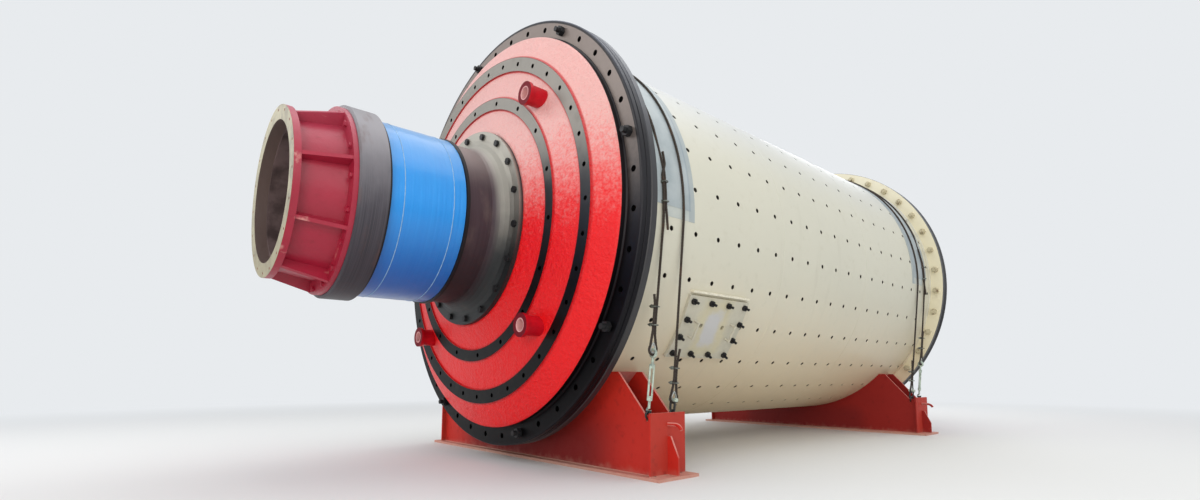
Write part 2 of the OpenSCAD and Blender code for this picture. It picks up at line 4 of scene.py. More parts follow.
import bpy
from mathutils import Matrix, Vector


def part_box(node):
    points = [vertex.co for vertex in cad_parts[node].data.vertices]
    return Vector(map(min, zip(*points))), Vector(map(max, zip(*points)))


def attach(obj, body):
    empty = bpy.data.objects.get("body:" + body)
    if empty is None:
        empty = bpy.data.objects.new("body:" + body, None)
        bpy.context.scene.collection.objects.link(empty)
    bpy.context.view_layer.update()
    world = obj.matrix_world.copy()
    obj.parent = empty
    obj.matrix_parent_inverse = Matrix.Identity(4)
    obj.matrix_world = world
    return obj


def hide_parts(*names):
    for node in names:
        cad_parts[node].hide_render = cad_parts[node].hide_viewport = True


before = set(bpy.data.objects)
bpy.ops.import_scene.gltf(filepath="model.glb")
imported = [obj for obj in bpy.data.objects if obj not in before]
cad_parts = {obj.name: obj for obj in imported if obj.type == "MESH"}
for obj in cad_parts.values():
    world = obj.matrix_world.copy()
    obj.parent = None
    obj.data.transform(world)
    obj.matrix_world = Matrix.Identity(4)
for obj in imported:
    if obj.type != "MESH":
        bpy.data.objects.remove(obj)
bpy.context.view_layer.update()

# sizes read from the frame, in metres
seam_low, seam_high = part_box("shell_course_middle")
shell_radius = (seam_high.z - seam_low.z) / 2
axis_z = (seam_high.z + seam_low.z) / 2
seam_x = seam_high.x
flange_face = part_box("shell_flange_right")[1].x
flange_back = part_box("shell_flange_right")[0].x
flange_radius = (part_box("shell_flange_right")[1].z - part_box("shell_flange_right")[0].z) / 2
trunnion_low, trunnion_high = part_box("trunnion_right")
film_low, film_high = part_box("journal_wrap_right")
film_radius = (film_high.z - film_low.z) / 2
sleeve_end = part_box("sleeve_right")[1].x
cradle_low, cradle_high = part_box("cradle_right_side_plates")
cradle_middle = (cradle_low.x + cradle_high.x) / 2
horn_z = cradle_high.z
end_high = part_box("cradle_right_end_plates")[1]
pad_low, pad_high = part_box("pad_right")
door_low, door_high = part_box("manhole_door")

# sizes inside the pieces, as in the part, in metres
large_band = (1.252, 1.356)
small_band = (0.945, 1.033)
cast_radius = 1.540
lug_circle = 1.1425
lug_bore = 0.042
trunnion_face = trunnion_low.x + 0.034
lip_start = trunnion_low.x + 0.324
end_ring_start = trunnion_high.x - 0.176
sleeve_mouth = 0.450
sleeve_front = 0.542
cradle_plate = 0.016
plate_x = (cradle_high.x - cradle_low.x - cradle_plate) / 2
shelf_length = 0.070
shelf_top = end_high.z - 0.018
pad_thickness = 0.004


# camera
def make_camera():
    """A wide lens near the left head, low over the floor, with the whole drum in a frame of 1200 by 500."""
    place = Vector((-4.923, -4.112, 0.645))
    forward = Vector((0.6789, 0.7262, 0.1078)).normalized()
    data = bpy.data.cameras.new("camera")
    data.sensor_width = 36.0
    data.lens = 17.4
    data.shift_x = -0.0255
    data.shift_y = 0.0538
    data.clip_end = 200.0
    camera = bpy.data.objects.new("camera", data)
    bpy.context.scene.collection.objects.link(camera)
    camera.location = place
    camera.rotation_mode = "QUATERNION"
    camera.rotation_quaternion = forward.to_track_quat("-Z", "Y")
    bpy.context.scene.camera = camera


# shader tools
def srgb(red, green, blue):
    """A colour given as it shows on a screen, 0 to 255, turned to scene light."""
    def light(level):
        level = level / 255
        return level / 12.92 if level <= 0.04045 else ((level + 0.055) / 1.055) ** 2.4
    return (light(red), light(green), light(blue), 1.0)


class Level:
    """A number that changes over a surface. Its operators add Math nodes."""

    def __init__(self, finish, socket):
        self.finish = finish
        self.socket = socket

    def __add__(self, other):
        return self.finish.math("ADD", self, other)

    __radd__ = __add__

    def __mul__(self, other):
        return self.finish.math("MULTIPLY", self, other)

    __rmul__ = __mul__

    def __sub__(self, other):
        return self.finish.math("SUBTRACT", self, other)

    def __rsub__(self, other):
        return self.finish.math("SUBTRACT", other, self)

    def __pow__(self, other):
        return self.finish.math("POWER", self, other)

    def __abs__(self):
        return self.finish.math("ABSOLUTE", self)


class Finish:
    """A painted, machined or woven surface, built round one Principled shader."""

    def __init__(self, name, roughness=0.5, metallic=0.0, coat=0.0, coat_roughness=0.2, specular=0.5):
        self.material = bpy.data.materials.new(name)
        self.material.use_nodes = True
        self.tree = self.material.node_tree
        self.shader = self.tree.nodes["Principled BSDF"]
        self.put("Roughness", roughness)
        self.put("Metallic", metallic)
        self.put("Coat Weight", coat)
        self.shader.inputs["Coat Roughness"].default_value = coat_roughness
        self.shader.inputs["Specular IOR Level"].default_value = specular
        self.at = self.node("ShaderNodeTexCoord").outputs["Object"]
        split = self.node("ShaderNodeSeparateXYZ", values={"Vector": self.at})
        self.x = Level(self, split.outputs["X"])
        self.y = Level(self, split.outputs["Y"])
        self.z = Level(self, split.outputs["Z"])

    def node(self, kind, settings=None, values=None):
        """Adds a node, sets its settings, then the values or links of its sockets."""
        made = self.tree.nodes.new(kind)
        for key, value in (settings or {}).items():
            setattr(made, key, value)
        for key, value in (values or {}).items():
            self.link(made.inputs[key], value)
        return made

    def link(self, socket, value):
        if isinstance(value, Level):
            value = value.socket
        if isinstance(value, bpy.types.NodeSocket):
            self.tree.links.new(value, socket)
        else:
            socket.default_value = value

    def put(self, socket, value):
        self.link(self.shader.inputs[socket], value)

    def math(self, operation, first, second=None):
        values = {0: first} if second is None else {0: first, 1: second}
        made = self.node("ShaderNodeMath", {"operation": operation}, values)
        return Level(self, made.outputs[0])

    def rise(self, value, low, high):
        """0 below low, 1 above high, with a smooth step between. low may be above high."""
        made = self.node("ShaderNodeMapRange", {"interpolation_type": "SMOOTHSTEP"},
                         {"Value": value, "From Min": low, "From Max": high})
        return Level(self, made.outputs["Result"])

    def between(self, value, low, high, soft):
        """1 between low and high, 0 outside, with soft edges."""
        return self.rise(value, low - soft, low + soft) * self.rise(value, high + soft, high - soft)

    def stretched(self, along, around):
        """Object coordinates with their own scale along and across the drum."""
        made = self.node("ShaderNodeVectorMath", {"operation": "MULTIPLY"},
                         {0: self.at, 1: (along, around, around)})
        return made.outputs[0]

    def noise(self, scale, detail=3.0, vector=None):
        made = self.node("ShaderNodeTexNoise", values={
            "Vector": self.at if vector is None else vector, "Scale": scale, "Detail": detail,
            "Roughness": 0.55})
        return Level(self, made.outputs["Fac"])

    def mix(self, factor, under, over):
        """The colour over laid on the colour under. Sockets 6 and 7 are the node's two colours."""
        made = self.node("ShaderNodeMix", {"data_type": "RGBA"})
        self.link(made.inputs[0], factor)
        self.link(made.inputs[6], under)
        self.link(made.inputs[7], over)
        return made.outputs[2]

    def bump(self, height, distance):
        made = self.node("ShaderNodeBump", values={"Height": height, "Distance": distance, "Strength": 1.0})
        self.put("Normal", made.outputs["Normal"])

    def from_axis(self):
        """Distance from the axis of the drum."""
        up = self.z - axis_z
        return (self.y * self.y + up * up) ** 0.5

    def facing(self, axis):
        """The share of the surface normal along X, Y or Z."""
        normal = self.node("ShaderNodeNewGeometry").outputs["Normal"]
        split = self.node("ShaderNodeSeparateXYZ", values={"Vector": normal})
        return Level(self, split.outputs[axis])


# finishes
def shell_paint():
    """Cream enamel with faint plate waves; warmer and a little darker towards the bottom, greyer on top as
    a painted sky reflection, paler on the flanges as a painted highlight; hole walls painted dark as shade;
    dark flange rims with a painted sky reflection on top.
    """
    f = Finish("shell_enamel", coat=0.35, coat_roughness=0.35)
    far = f.from_axis()
    cloud = f.noise(0.9, 2.0)
    fine = f.noise(14.0, 4.0)
    paint = f.mix(cloud, srgb(212, 208, 188), srgb(203, 200, 182))
    paint = f.mix(f.rise(fine, 0.56, 0.75) * 0.25, paint, srgb(190, 184, 160))
    # Warmer and a little darker towards the bottom.
    under = f.rise(f.z + fine * 0.3, axis_z, axis_z - 1.5)
    paint = f.mix(under * 0.8, paint, srgb(218, 192, 150))
    streak = f.rise(f.noise(1.0, 5.0, f.stretched(9.0, 1.1)), 0.58, 0.8)
    paint = f.mix(streak * 0.22, paint, srgb(172, 164, 142))
    # Painted reflection: the top of the shell turns blue-grey, as if reflecting the sky.
    paint = f.mix(f.rise(f.z, axis_z + 0.4, axis_z + 1.4) * 0.75, paint, srgb(188, 192, 197))
    # Painted highlight: the flanges are made a paler cream, standing in for light on their faces.
    back = f.rise(abs(f.x), flange_back - 0.0015, flange_back - 0.0005)
    paint = f.mix(back * 0.8, paint, srgb(236, 226, 192))
    # Painted shade: hole walls and the inside of the plates are near-black, for the dark inside of the
    # closed drum.
    walls = f.rise(far, shell_radius - 0.002, shell_radius - 0.005)
    paint = f.mix(walls, paint, srgb(34, 30, 27))
    rim = f.rise(far, flange_radius - 0.004, flange_radius - 0.001)
    front = f.rise(abs(f.x), flange_back + 0.012, flange_back + 0.016)
    rim = f.math("MAXIMUM", rim, front * f.rise(far, flange_radius - 0.03, flange_radius - 0.02))
    # The rims are dark paint; the blue-grey towards the top is a painted sky reflection.
    dark = f.mix(f.rise(f.z, axis_z, axis_z + 1.6), srgb(30, 28, 31), srgb(74, 78, 90))
    paint = f.mix(rim, paint, dark)
    f.put("Base Color", paint)
    f.put("Roughness", 0.42 + fine * 0.16)
    f.bump(f.noise(3.2, 2.0) * 0.8 + f.noise(160.0, 2.0) * 0.04, 0.004)
    return f.material


def machined(f, level, lower_reflection_colour):
    """Bare steel with turning lines: pale above level and of the given lower colour below it, a painted
    reflection of the sky above and painted shade below.
    """
    lines = f.noise(1.0, 3.0, f.stretched(420.0, 2.0))
    patch = f.noise(7.0, 4.0)
    # Painted reflection and shade: pale steel above the level, the given lower colour below it.
    dark = f.rise(f.z + patch * 0.25, level + 0.42, level - 0.1)
    steel = f.mix(dark, srgb(140, 135, 126), lower_reflection_colour)
    steel = f.mix(f.rise(patch, 0.55, 0.8) * 0.3, steel, srgb(84, 72, 60))
    return f.mix(lines * 0.25, steel, srgb(62, 62, 61))


def head_paint():
    """Bright red enamel over rough casting, pale pink on top as a painted sky reflection over some
    chalking; the turned bands and the rim are bare steel, with painted reflection and painted shade.
    """
    f = Finish("head_enamel", coat_roughness=0.3, specular=0.3)
    far = f.from_axis()
    grain = f.noise(22.0, 4.0)
    pits = f.noise(60.0, 3.0)
    red = f.mix(f.noise(1.6, 3.0), srgb(240, 8, 14), srgb(224, 6, 14))
    # Pale pink towards the top: a painted reflection of the sky, over some chalking of the paint.
    sky_sheen_and_chalk = f.rise(f.z + grain * 0.45 + pits * 0.55 + f.noise(3.0, 2.0) * 0.2, axis_z + 0.4, axis_z + 1.25)
    red = f.mix(sky_sheen_and_chalk * (0.66 + pits * 0.34), red, srgb(228, 186, 178))
    red = f.mix(f.rise(pits, 0.6, 0.8) * 0.4, red, srgb(150, 10, 16))
    # Painted shade: darker red rings at the borders of the turned bands, where the cast edges fall into
    # shadow.
    edges = 0
    for radius in large_band + small_band:
        edges = edges + f.between(far, radius - 0.012, radius + 0.012, 0.006)
    red = f.mix(edges * 0.8, red, srgb(196, 6, 16))
    bands = 0
    for start, stop in (large_band, small_band):
        bands = bands + f.between(far, start + 0.001, stop - 0.001, 0.001)
    rim = f.rise(far, cast_radius + 0.009, cast_radius + 0.013)
    inside = f.rise(abs(f.x), flange_face, flange_face - 0.002)
    # Painted shade: the step wall at the edge of the casting is near-black, as its shadowed corner.
    step = f.between(far, cast_radius - 0.001, cast_radius + 0.0115, 0.0004)
    bare = f.math("MINIMUM", bands + rim + inside + step, 1.0)
    # Painted shade and reflection: the bare bands grow darker below the axis.
    low = f.rise(f.z, axis_z + 0.1, axis_z - 0.7)
    steel = machined(f, axis_z + 0.3, f.mix(low, srgb(32, 33, 35), srgb(12, 12, 14)))
    # Painted reflection and painted shade: the ring face is pale towards the top and darkens to black
    # towards the bottom.
    shade = f.rise(f.z + grain * 0.3, axis_z + 1.0, axis_z - 0.1)
    ring = f.mix(shade, srgb(126, 114, 107), srgb(20, 17, 21))
    ring = f.mix(f.rise(f.z, axis_z - 0.3, axis_z - 1.1) * 0.8, ring, srgb(6, 5, 7))
    ring = f.mix(f.rise(far, flange_radius - 0.025, flange_radius - 0.020), ring, srgb(20, 17, 20))
    steel = f.mix(rim, steel, ring)
    # The outer rim is dark steel; the blue-grey towards the top is a painted sky reflection.
    outer = f.rise(far, flange_radius - 0.012, flange_radius - 0.004)
    edge = f.mix(f.rise(f.z, axis_z + 0.4, axis_z + 1.6), srgb(30, 29, 33), srgb(70, 74, 88))
    steel = f.mix(outer, steel, edge)
    # Painted shade: the walls of the steps inside the rim are near-black.
    walls = f.rise(abs(f.facing("X")), 0.5, 0.3)
    walls = walls * f.rise(far, flange_radius - 0.006, flange_radius - 0.010)
    steel = f.mix(walls, steel, srgb(14, 13, 14))
    f.put("Base Color", f.mix(step, f.mix(bare, red, steel), srgb(26, 22, 25)))
    f.put("Metallic", bare * (0.3 + low * 0.6))
    f.put("Roughness", 0.36 + grain * 0.14 + bare * 0.04)
    f.put("Coat Weight", 0.15 - bare * 0.1)
    cast = (1.0 - bare) * (grain * 0.8 + pits * 0.6 + f.noise(6.0, 2.0) * 0.8)
    f.bump(cast, 0.014)
    return f.material


def lug_paint():
    """Crimson enamel on the hollow lugs of the heads, with the end ring painted dark as shade and the bore
    painted pale as a highlight.
    """
    f = Finish("lug_enamel", specular=0.2)
    grain = f.noise(24.0, 4.0)
    place = lug_circle * math.sqrt(0.5)
    side = abs(f.y) - place
    up = abs(f.z - axis_z) - place
    across = (side * side + up * up) ** 0.5
    red = f.mix(grain, srgb(206, 14, 30), srgb(168, 10, 28))
    # Painted highlight: the bore is pale pink, for the lit floor of the eye.
    red = f.mix(f.rise(across, lug_bore + 0.008, lug_bore + 0.004), red, srgb(232, 176, 172))
    # Painted shade: the end faces of the lugs are dark crimson.
    end = f.rise(abs(f.facing("X")), 0.8, 0.95)
    red = f.mix(end * f.rise(across, lug_bore + 0.004, lug_bore + 0.008), red, srgb(112, 6, 24))
    f.put("Base Color", red)
    f.put("Roughness", 0.35 + end * 0.3)
    f.put("Coat Weight", 0.2 - end * 0.2)
    f.bump(grain, 0.003)
    return f.material


def trunnion_steel():
    """Turned trunnion under a dark preservative: flange face, brown-black neck and charcoal end ring, each
    painted paler at the top as a sky reflection and darker below as shade.
    """
    f = Finish("trunnion_steel", metallic=0.4)
    out = abs(f.x)
    lines = f.noise(1.0, 4.0, f.stretched(260.0, 1.6))
    smear = f.noise(5.0, 5.0, f.stretched(2.2, 0.8))
    flange = machined(f, axis_z - 0.13, srgb(34, 36, 37))
    # Painted reflection: the flange face grows paler towards the top.
    flange = f.mix(f.rise(f.z, axis_z - 0.1, axis_z + 0.55) * 0.6, flange, srgb(180, 176, 164))
    neck = f.mix(lines, srgb(50, 38, 44), srgb(84, 68, 74))
    neck = f.mix(f.rise(smear, 0.5, 0.8) * 0.35, neck, srgb(124, 106, 98))
    # Painted reflection above the axis and painted shade below it.
    neck = f.mix(f.rise(f.z, axis_z + 0.1, axis_z + 0.5) * 0.75, neck, srgb(158, 146, 142))
    neck = f.mix(f.rise(f.z, axis_z - 0.1, axis_z - 0.6) * 0.7, neck, srgb(34, 26, 28))
    ring = f.mix(f.rise(lines, 0.25, 0.75), srgb(58, 56, 62), srgb(86, 83, 90))
    # Painted reflection towards the top and painted shade towards the bottom of the end ring.
    ring = f.mix(f.rise(f.z + smear * 0.3, axis_z - 0.1, axis_z + 0.55) * 0.75, ring, srgb(150, 147, 150))
    ring = f.mix(f.rise(f.z, axis_z - 0.1, axis_z - 0.5) * 0.4, ring, srgb(44, 38, 44))
    ring = f.mix(f.rise(smear, 0.55, 0.75) * 0.45, ring, srgb(96, 70, 64))
    body = f.mix(f.rise(out, trunnion_face + 0.04, trunnion_face + 0.11), flange, neck)
    body = f.mix(f.rise(out, lip_start - 0.002, lip_start), body, srgb(20, 19, 22))
    body = f.mix(f.rise(out, end_ring_start - 0.004, end_ring_start + 0.002), body, ring)
    body = f.mix(f.rise(out, trunnion_face, trunnion_face - 0.03), body, srgb(52, 50, 50))
    f.put("Base Color", body)
    f.put("Roughness", 0.34 + lines * 0.16 + smear * 0.1)
    f.bump(lines, 0.00015)
    return f.material


def sleeve_paint():
    """Crimson enamel on the ribbed sleeve, pinker on top as a painted sky reflection, with a bare pale end
    face.
    """
    f = Finish("sleeve_enamel", coat_roughness=0.25)
    far = f.from_axis()
    out = abs(f.x)
    grain = f.noise(26.0, 4.0)
    red = f.mix(f.noise(4.0, 3.0), srgb(172, 22, 54), srgb(146, 14, 42))
    # Painted reflection: pinker towards the top.
    red = f.mix(f.rise(f.z, axis_z, axis_z + 0.6) * 0.25, red, srgb(206, 104, 128))
    red = f.mix(f.rise(grain, 0.56, 0.75) * 0.3, red, srgb(128, 22, 36))
    front_edge = f.between(far, sleeve_front - 0.008, sleeve_front + 0.018, 0.004)
    worn = f.rise(f.noise(9.0, 5.0), 0.6, 0.72) * front_edge
    red = f.mix(worn * 0.7, red, srgb(214, 150, 140))
    lines = f.noise(1.0, 3.0, f.stretched(3.0, 160.0))
    face = f.mix(f.rise(f.noise(8.0, 4.0), 0.4, 0.75), srgb(176, 168, 138), srgb(130, 122, 104))
    face = f.mix(f.rise(f.z, axis_z + 0.1, axis_z - 0.5) * 0.5, face, srgb(146, 134, 96))
    bare = f.rise(out, sleeve_end - 0.0015, sleeve_end - 0.0005)
    mouth = f.rise(far, sleeve_mouth + 0.0015, sleeve_mouth + 0.0005)
    red = f.mix(mouth, red, srgb(98, 80, 74))
    f.put("Base Color", f.mix(bare, red, face))
    f.put("Metallic", bare * 0.25)
    f.put("Roughness", 0.4 + grain * 0.12)
    f.put("Coat Weight", 0.2 - bare * 0.15)
    f.bump(grain * (1.0 - bare) + lines * bare * 0.1, 0.002)
    return f.material


def film_plastic():
    """Blue stretch film wound over the journal, paler on top as a painted sky reflection and darker below
    as painted shade.
    """
    f = Finish("journal_film", coat=0.25, coat_roughness=0.12)
    wraps = f.noise(1.0, 3.0, f.stretched(46.0, 1.2))
    # Painted reflection above the axis and painted shade below it.
    above = f.rise(f.z, axis_z - 0.1, axis_z + 0.6)
    blue = f.mix(wraps, srgb(18, 140, 228), srgb(34, 156, 238))
    blue = f.mix(above * 0.8, blue, srgb(56, 140, 200))
    blue = f.mix(f.rise(f.z, axis_z, axis_z - 0.6) * 0.85, blue, srgb(6, 72, 160))
    f.put("Base Color", blue)
    f.put("Roughness", 0.3)
    f.bump(wraps + f.noise(1.0, 4.0, f.stretched(14.0, 5.0)) * 0.6, 0.0016)
    return f.material


def plain_finish(name, light, dark, roughness=0.45, metallic=0.6, scale=30.0, bump=0.0008):
    """Ledge, liner tubes, tape edges, clips and thimbles: one finish with grime in patches."""
    f = Finish(name, metallic=metallic)
    grime = f.noise(scale, 4.0)
    f.put("Base Color", f.mix(f.rise(grime, 0.35, 0.65), srgb(*light), srgb(*dark)))
    f.put("Roughness", roughness + grime * 0.2)
    f.bump(grime, bump)
    return f.material


def bolt_black():
    """Black bolts; the nuts on the shell side of the right joint are painted over with the shell."""
    f = Finish("bolt_black", metallic=0.3)
    grime = f.noise(30.0, 4.0)
    tone = f.mix(grime, srgb(36, 35, 37), srgb(14, 14, 15))
    painted = f.rise(f.x, 1.0, 1.1) * f.rise(f.x, flange_back + 0.001, flange_back)
    tone = f.mix(painted, tone, f.mix(f.rise(grime, 0.5, 0.7), srgb(196, 186, 154), srgb(132, 112, 84)))
    f.put("Base Color", tone)
    f.put("Metallic", 0.3 - painted * 0.3)
    f.put("Roughness", 0.45 + grime * 0.2)
    f.bump(grime, 0.0008)
    return f.material


def lashing_zinc():
    """Pale galvanised turnbuckles and pins; the links and the shackle bows are dark with use."""
    f = Finish("lashing_zinc", metallic=0.3)
    grime = f.noise(30.0, 4.0)
    tone = f.mix(f.rise(grime, 0.4, 0.7), srgb(190, 204, 188), srgb(134, 146, 136))
    shackle = f.rise((abs(f.x) - cradle_middle) * f.y, 0.0, 0.01)
    used = f.rise(f.z, shelf_top + 0.036, shelf_top + 0.030)
    used = f.math("MAXIMUM", used, shackle * f.rise(f.z, shelf_top + 0.086, shelf_top + 0.080))
    tone = f.mix(used, tone, f.mix(grime, srgb(62, 68, 68), srgb(34, 34, 34)))
    f.put("Base Color", tone)
    f.put("Roughness", 0.4 + grime * 0.2)
    f.bump(grime, 0.0008)
    return f.material


def door_primer():
    """Greenish grey primer with a paler patch in the middle, yellowed round its edge."""
    f = Finish("door_primer")
    centre = (door_low + door_high) / 2
    grain = f.noise(24.0, 4.0)
    base = f.mix(grain, srgb(202, 197, 178), srgb(186, 181, 162))
    cloud = f.noise(6.0, 3.0)
    across = abs(f.x - centre.x)
    along = abs(f.z - centre.z)
    wander = grain * 0.04 + cloud * 0.14
    patch = f.rise(across + wander, 0.21, 0.14) * f.rise(along + wander, 0.26, 0.18)
    halo = f.rise(across + wander, 0.30, 0.21) * f.rise(along + wander, 0.34, 0.25)
    base = f.mix(halo * 0.45, base, srgb(206, 194, 150))
    base = f.mix(patch * 0.7, base, srgb(190, 192, 200))
    f.put("Base Color", base)
    f.put("Roughness", 0.55 + grain * 0.15)
    f.bump(grain, 0.001)
    return f.material


def cradle_paint():
    """Red oxide paint, pale along the plate edges and sloping faces as rubbed paint with a painted
    highlight, dusty at the foot, darker inside as painted shade under the drum and on the inward faces.
    """
    f = Finish("cradle_oxide", specular=0.3)
    grain = f.noise(18.0, 4.0)
    wide = f.noise(2.2, 3.0)
    red = f.mix(wide, srgb(204, 42, 27), srgb(182, 34, 23))
    red = f.mix(f.rise(grain, 0.55, 0.8) * 0.45, red, srgb(104, 24, 22))
    # Painted shade: darker under the drum and on the faces turned inward.
    inner = f.rise(abs(f.y), end_high.y - 0.15, end_high.y - 0.75) * f.rise(f.z, horn_z, horn_z - 0.5)
    inner = f.math("MAXIMUM", inner, f.rise(f.facing("X") * f.x, -0.5, -1.5) * 0.8)
    red = f.mix(inner * 0.75, red, srgb(92, 16, 18))
    ends = f.rise(abs(f.facing("Y")), 0.8, 0.95)
    red = f.mix(ends * 0.35, red, srgb(140, 72, 58))
    # Rubbed paint with a painted highlight: paler on edges and sloping faces that turn upward.
    thin = f.rise(abs(f.facing("X")) + abs(f.facing("Y")), 0.985, 0.9) * f.rise(f.z, 0.1, 0.2)
    red = f.mix(thin * (0.35 + grain * 0.5), red, srgb(222, 160, 148))
    foot = f.rise(f.z + grain * 0.1, 0.12, 0.02)
    red = f.mix(foot * 0.5, red, srgb(186, 140, 122))
    red = f.mix(f.rise(f.z, 0.026, 0.022) * (0.25 + grain * 0.7), red, srgb(206, 168, 150))
    f.put("Base Color", red)
    f.put("Roughness", 0.5 + grain * 0.25)
    f.bump(grain + f.noise(120.0, 2.0) * 0.2, 0.0012)
    return f.material


def pad_cloth(name, light, dark):
    """Grey-blue packing sheet under the ropes, paler on top as a painted sky sheen."""
    f = Finish(name, coat=0.3, coat_roughness=0.4)
    cloud = f.noise(5.0, 4.0)
    thread = f.noise(1.0, 2.0, f.stretched(900.0, 900.0))
    # Painted sheen: paler towards the top.
    above = f.rise(f.z, axis_z + 0.3, axis_z + 1.5)
    tone = f.mix(f.rise(cloud, 0.35, 0.7), srgb(*light), srgb(*dark))
    tone = f.mix(above * 0.3, tone, srgb(196, 204, 206))
    far = abs(f.x)
    hem = f.rise(far, pad_high.x - 0.020, pad_high.x - 0.012)
    hem = hem + f.rise(far, pad_low.x + 0.020, pad_low.x + 0.012)
    tone = f.mix(hem * 0.4, tone, srgb(118, 132, 142))
    f.put("Base Color", tone)
    f.put("Roughness", 0.55 + cloud * 0.15)
    f.bump(cloud + thread * 0.05, 0.004)
    return f.material


def rope_steel():
    """Weathered wire rope: dark grease with rusty crowns."""
    f = Finish("rope_wire", metallic=0.35)
    wires = f.noise(420.0, 2.0)
    rust = f.noise(9.0, 4.0)
    tone = f.mix(f.rise(wires, 0.35, 0.7), srgb(38, 32, 30), srgb(86, 74, 64))
    tone = f.mix(f.rise(rust, 0.55, 0.75) * 0.5, tone, srgb(112, 78, 52))
    f.put("Base Color", tone)
    f.put("Roughness", 0.5 + wires * 0.2)
    f.bump(wires, 0.0008)
    return f.material


# modelling tools
def free():
    """Leaves edit mode with nothing selected."""
    if bpy.context.object and bpy.context.object.mode != "OBJECT":
        bpy.ops.object.mode_set(mode="OBJECT")
    bpy.ops.object.select_all(action="DESELECT")


def only(piece):
    free()
    piece.select_set(True)
    bpy.context.view_layer.objects.active = piece


def settle(piece):
    """Puts the piece's place into its mesh."""
    only(piece)
    bpy.ops.object.transform_apply(location=True, rotation=True, scale=True)


def apply_modifiers(piece):
    only(piece)
    for modifier in list(piece.modifiers):
        bpy.ops.object.modifier_apply(modifier=modifier.name)


def outward(piece):
    """Merges doubled points and turns all faces outwards."""
    only(piece)
    bpy.ops.object.mode_set(mode="EDIT")
    bpy.ops.mesh.select_all(action="SELECT")
    bpy.ops.mesh.remove_doubles(threshold=0.00002)
    bpy.ops.mesh.normals_make_consistent(inside=False)
    bpy.ops.object.mode_set(mode="OBJECT")


def finish_piece(piece, name, material, angle=40):
    """Names the piece, gives it its finish and lets it ride on the mill."""
    only(piece)
    bpy.ops.object.shade_smooth_by_angle(angle=math.radians(angle))
    piece.name = name
    piece.data.materials.clear()
    piece.data.materials.append(material)
    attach(piece, "root")
    return piece


def joined(pieces):
    free()
    for piece in pieces:
        piece.select_set(True)
    bpy.context.view_layer.objects.active = pieces[0]
    bpy.ops.object.join()
    return bpy.context.object


def round_ring(x, radius, thick, tall, steps=180, sides=10):
    """A bead of weld or tape round the drum, thick along the drum and tall outwards."""
    free()
    bpy.ops.mesh.primitive_circle_add(vertices=sides, radius=1.0, location=(x, 0, axis_z + radius),
                                      rotation=(math.pi / 2, 0, 0))
    piece = bpy.context.object
    piece.scale = (thick / 2, tall, 1.0)
    settle(piece)
    bpy.ops.object.mode_set(mode="EDIT")
    bpy.ops.mesh.select_all(action="SELECT")
    bpy.ops.mesh.spin(steps=steps, angle=2 * math.pi, center=(0, 0, axis_z), axis=(1, 0, 0))
    outward(piece)
    return piece


def bar(start, end, radius, sides=8):
    """A round bar between two points."""
    free()
    line = Vector(end) - Vector(start)
    bpy.ops.mesh.primitive_cylinder_add(vertices=sides, radius=radius, depth=line.length,
                                        location=(Vector(start) + Vector(end)) / 2)
    piece = bpy.context.object
    piece.rotation_mode = "QUATERNION"
    piece.rotation_quaternion = line.to_track_quat("Z", "Y")
    settle(piece)
    return piece


def pick(piece, wanted):
    """Edit mode, with the vertices selected whose place is wanted."""
    only(piece)
    bpy.ops.object.mode_set(mode="EDIT")
    bpy.ops.mesh.select_mode(type="VERT")
    bpy.ops.mesh.select_all(action="DESELECT")
    bpy.ops.object.mode_set(mode="OBJECT")
    for vertex in piece.data.vertices:
        vertex.select = wanted(vertex.co)
    bpy.ops.object.mode_set(mode="EDIT")


def weld_bead(start, end, radius):
    """A run of weld from start to end, with its ripples."""
    free()
    line = Vector(end) - Vector(start)
    ripple = 0.014
    count = round(line.length / ripple)
    pitch = line.length / count
    bpy.ops.mesh.primitive_circle_add(vertices=8, radius=radius)
    piece = bpy.context.object
    bpy.ops.object.mode_set(mode="EDIT")
    bpy.ops.mesh.select_all(action="SELECT")
    waist = 0.78
    for rise, narrow in ((0.65, waist), (0.35, 1 / waist)):
        bpy.ops.mesh.extrude_edges_move(TRANSFORM_OT_translate={"value": (0, 0, pitch * rise)})
        bpy.ops.transform.resize(value=(narrow, narrow, 1))
    bpy.ops.object.mode_set(mode="OBJECT")
    row = piece.modifiers.new("ripples", "ARRAY")
    row.count = count
    row.relative_offset_displace = (0, 0, 1)
    row.use_merge_vertices = True
    row.merge_threshold = 0.0002
    apply_modifiers(piece)
    bpy.ops.object.mode_set(mode="EDIT")
    bpy.ops.mesh.select_all(action="SELECT")
    bpy.ops.mesh.fill_holes(sides=0)
    outward(piece)
    piece.location = start
    piece.rotation_mode = "QUATERNION"
    piece.rotation_quaternion = line.to_track_quat("Z", "Y")
    settle(piece)
    return piece


def block(size, place, bevel=0.003):
    """A small block with broken edges."""
    free()
    bpy.ops.mesh.primitive_cube_add(size=1.0, location=place)
    piece = bpy.context.object
    piece.scale = size
    settle(piece)
    bpy.ops.object.mode_set(mode="EDIT")
    bpy.ops.mesh.select_all(action="SELECT")
    bpy.ops.mesh.bevel(offset=bevel, segments=2, affect="EDGES")
    bpy.ops.object.mode_set(mode="OBJECT")
    return piece


# shell welds
def shell_welds(material):
    """Beads round the seams of the courses, and fillets between shell and flanges."""
    beads = []
    fillets = []
    for side in (-1, 1):
        beads.append(round_ring(side * seam_x, shell_radius - 0.0005, thick=0.018, tall=0.0022))
        place = side * (flange_back - 0.004)
        fillets.append(round_ring(place, shell_radius + 0.003, thick=0.024, tall=0.011))
    finish_piece(joined(beads), "shell_seam_beads", material)
    finish_piece(joined(fillets), "flange_fillet_welds", material)


